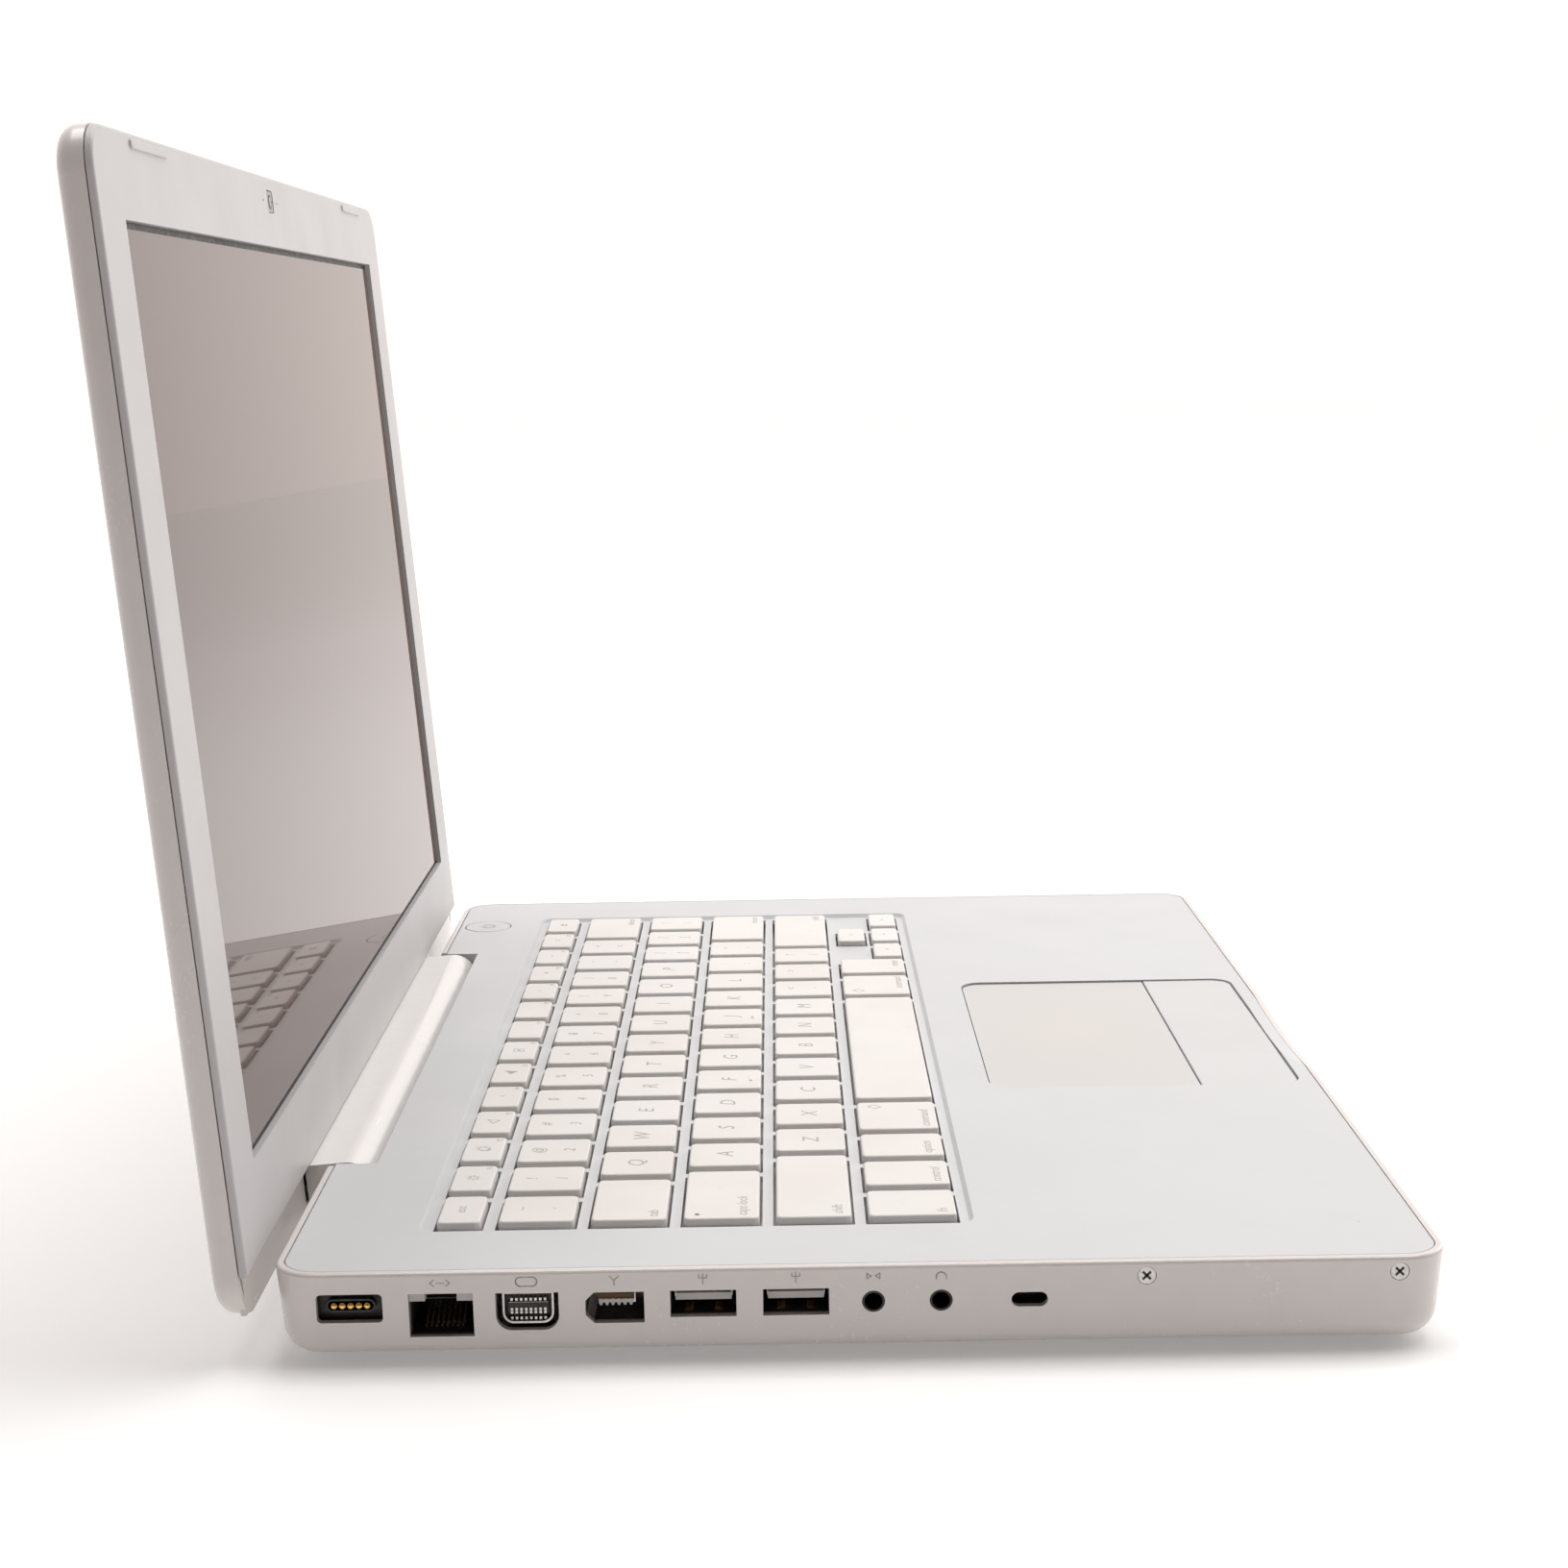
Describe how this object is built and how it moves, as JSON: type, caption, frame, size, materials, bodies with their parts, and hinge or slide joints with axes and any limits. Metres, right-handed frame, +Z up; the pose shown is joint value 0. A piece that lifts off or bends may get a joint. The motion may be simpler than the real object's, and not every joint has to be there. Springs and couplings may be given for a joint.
{
  "type": "laptop computer",
  "caption": "Clamshell laptop computer with a white case, drop hinge lid, separate key caps, touch pad with one button and a row of side ports.",
  "frame": {"origin": "on the table, under the centre of the base: the feet stand at height 0 and the underside is 1.2 mm above it", "axes": "+X to the user's right along the width, +Y from the user towards the hinge, +Z up out of the keyboard"},
  "size_m": [0.325, 0.2549, 0.2343],
  "materials": {
    "gloss_white_case": "glossy white polycarbonate, clear coated look",
    "satin_white_deck": "satin cool white polycarbonate, fine grain",
    "key_plastic": "satin warm white key caps",
    "touch_surface": "matt warm light grey",
    "button_plastic": "smooth white",
    "screen_surface": "dark switched-off screen, semi-gloss",
    "black_plastic": "black moulded plastic",
    "plated_steel": "plated sheet steel",
    "grey_lock": "grey moulded plastic",
    "circuit_board": "solder masked board",
    "copper": "bare copper",
    "light_metal": "bare aluminium",
    "foot_rubber": "pale translucent rubber"
  },
  "bodies": {
    "base": {"bottom_case": "gloss_white_case", "top_case": "satin_white_deck", "trackpad_plate": "touch_surface", "audio_jacks": "black_plastic", "power_inlet": "black_plastic", "speakers": "black_plastic", "fan_housing": "black_plastic", "rear_vent": "black_plastic", "video_socket": "plated_steel", "serial_bus_socket": "plated_steel", "data_sockets": "plated_steel", "ethernet_jack": "plated_steel", "case_screws": "plated_steel", "hinge_bracket_left": "plated_steel", "hinge_bracket_right": "plated_steel", "logic_board": "circuit_board", "memory_modules": "circuit_board", "wireless_card": "circuit_board", "heat_sink": "copper", "hard_drive": "light_metal", "optical_drive": "light_metal", "internal_frame": "light_metal", "keyboard_plate": "light_metal", "feet": "foot_rubber"},
    "lid": {"lid_arm_left": "plated_steel", "lid_arm_right": "plated_steel", "hinge_cover": "gloss_white_case", "lid_back_cover": "gloss_white_case", "display_bezel": "satin_white_deck", "camera_window": "black_plastic", "camera_module": "black_plastic", "lcd_glass": "screen_surface", "lcd_panel": "black_plastic", "inverter_board": "circuit_board", "latch_magnets": "plated_steel", "display_cable": "circuit_board"},
    "battery": {"battery": "gloss_white_case"},
    "battery_lock": {"battery_lock": "grey_lock"},
    "fan_rotor": {"fan_rotor": "black_plastic"},
    "power_button": {"power_button": "button_plastic"},
    "trackpad_button": {"trackpad_button": "button_plastic"},
    "function_keys": {"function_keys": "key_plastic"},
    "number_keys": {"number_keys": "key_plastic"},
    "delete_key": {"delete_key": "key_plastic"},
    "tab_key": {"tab_key": "key_plastic"},
    "upper_letter_keys": {"upper_letter_keys": "key_plastic"},
    "caps_lock_key": {"caps_lock_key": "key_plastic"},
    "home_letter_keys": {"home_letter_keys": "key_plastic"},
    "return_key": {"return_key": "key_plastic"},
    "left_shift_key": {"left_shift_key": "key_plastic"},
    "lower_letter_keys": {"lower_letter_keys": "key_plastic"},
    "right_shift_key": {"right_shift_key": "key_plastic"},
    "modifier_keys": {"modifier_keys": "key_plastic"},
    "left_command_key": {"left_command_key": "key_plastic"},
    "space_bar": {"space_bar": "key_plastic"},
    "right_command_key": {"right_command_key": "key_plastic"},
    "left_arrow_key": {"left_arrow_key": "key_plastic"},
    "down_arrow_key": {"down_arrow_key": "key_plastic"},
    "right_arrow_key": {"right_arrow_key": "key_plastic"},
    "up_arrow_key": {"up_arrow_key": "key_plastic"}
  },
  "joints": [
    {"name": "lid_hinge", "type": "hinge", "parent": "base", "child": "lid", "pos_m": [0, 0.1095, 0.0127], "axis": [-1, 0, 0], "range_deg": [-94.5, 30.5]},
    {"name": "power_button_press", "type": "slide", "parent": "base", "child": "power_button", "axis": [0, 0, -1], "range_m": [0, 0.0006], "stiffness_N_per_m": 2000, "springref_m": -0.0005},
    {"name": "trackpad_button_press", "type": "slide", "parent": "base", "child": "trackpad_button", "axis": [0, 0, -1], "range_m": [0, 0.0007], "stiffness_N_per_m": 1500, "springref_m": -0.0006},
    {"name": "battery_drop", "type": "slide", "parent": "base", "child": "battery", "axis": [0, 0, -1], "range_m": [0, 0.02]},
    {"name": "battery_lock_turn", "type": "hinge", "parent": "base", "child": "battery_lock", "pos_m": [-0.02, 0.0129, 0.0012], "axis": [0, 0, -1], "range_deg": [0, 90]},
    {"name": "fan_spin", "type": "hinge", "parent": "base", "child": "fan_rotor", "pos_m": [0.07, 0.062, 0.008], "axis": [0, 0, 1], "continuous": true},
    {"name": "function_keys_press", "type": "slide", "parent": "base", "child": "function_keys", "axis": [0, 0, -1], "range_m": [0, 0.002], "stiffness_N_per_m": 300, "springref_m": -0.002},
    {"name": "number_keys_press", "type": "slide", "parent": "base", "child": "number_keys", "axis": [0, 0, -1], "range_m": [0, 0.002], "stiffness_N_per_m": 300, "springref_m": -0.002},
    {"name": "delete_key_press", "type": "slide", "parent": "base", "child": "delete_key", "axis": [0, 0, -1], "range_m": [0, 0.002], "stiffness_N_per_m": 300, "springref_m": -0.002},
    {"name": "tab_key_press", "type": "slide", "parent": "base", "child": "tab_key", "axis": [0, 0, -1], "range_m": [0, 0.002], "stiffness_N_per_m": 300, "springref_m": -0.002},
    {"name": "upper_letter_keys_press", "type": "slide", "parent": "base", "child": "upper_letter_keys", "axis": [0, 0, -1], "range_m": [0, 0.002], "stiffness_N_per_m": 300, "springref_m": -0.002},
    {"name": "caps_lock_key_press", "type": "slide", "parent": "base", "child": "caps_lock_key", "axis": [0, 0, -1], "range_m": [0, 0.002], "stiffness_N_per_m": 300, "springref_m": -0.002},
    {"name": "home_letter_keys_press", "type": "slide", "parent": "base", "child": "home_letter_keys", "axis": [0, 0, -1], "range_m": [0, 0.002], "stiffness_N_per_m": 300, "springref_m": -0.002},
    {"name": "return_key_press", "type": "slide", "parent": "base", "child": "return_key", "axis": [0, 0, -1], "range_m": [0, 0.002], "stiffness_N_per_m": 300, "springref_m": -0.002},
    {"name": "left_shift_key_press", "type": "slide", "parent": "base", "child": "left_shift_key", "axis": [0, 0, -1], "range_m": [0, 0.002], "stiffness_N_per_m": 300, "springref_m": -0.002},
    {"name": "lower_letter_keys_press", "type": "slide", "parent": "base", "child": "lower_letter_keys", "axis": [0, 0, -1], "range_m": [0, 0.002], "stiffness_N_per_m": 300, "springref_m": -0.002},
    {"name": "right_shift_key_press", "type": "slide", "parent": "base", "child": "right_shift_key", "axis": [0, 0, -1], "range_m": [0, 0.002], "stiffness_N_per_m": 300, "springref_m": -0.002},
    {"name": "modifier_keys_press", "type": "slide", "parent": "base", "child": "modifier_keys", "axis": [0, 0, -1], "range_m": [0, 0.002], "stiffness_N_per_m": 300, "springref_m": -0.002},
    {"name": "left_command_key_press", "type": "slide", "parent": "base", "child": "left_command_key", "axis": [0, 0, -1], "range_m": [0, 0.002], "stiffness_N_per_m": 300, "springref_m": -0.002},
    {"name": "space_bar_press", "type": "slide", "parent": "base", "child": "space_bar", "axis": [0, 0, -1], "range_m": [0, 0.002], "stiffness_N_per_m": 300, "springref_m": -0.002},
    {"name": "right_command_key_press", "type": "slide", "parent": "base", "child": "right_command_key", "axis": [0, 0, -1], "range_m": [0, 0.002], "stiffness_N_per_m": 300, "springref_m": -0.002},
    {"name": "left_arrow_key_press", "type": "slide", "parent": "base", "child": "left_arrow_key", "axis": [0, 0, -1], "range_m": [0, 0.002], "stiffness_N_per_m": 300, "springref_m": -0.002},
    {"name": "down_arrow_key_press", "type": "slide", "parent": "base", "child": "down_arrow_key", "axis": [0, 0, -1], "range_m": [0, 0.002], "stiffness_N_per_m": 300, "springref_m": -0.002},
    {"name": "right_arrow_key_press", "type": "slide", "parent": "base", "child": "right_arrow_key", "axis": [0, 0, -1], "range_m": [0, 0.002], "stiffness_N_per_m": 300, "springref_m": -0.002},
    {"name": "up_arrow_key_press", "type": "slide", "parent": "base", "child": "up_arrow_key", "axis": [0, 0, -1], "range_m": [0, 0.002], "stiffness_N_per_m": 300, "springref_m": -0.002}
  ]
}
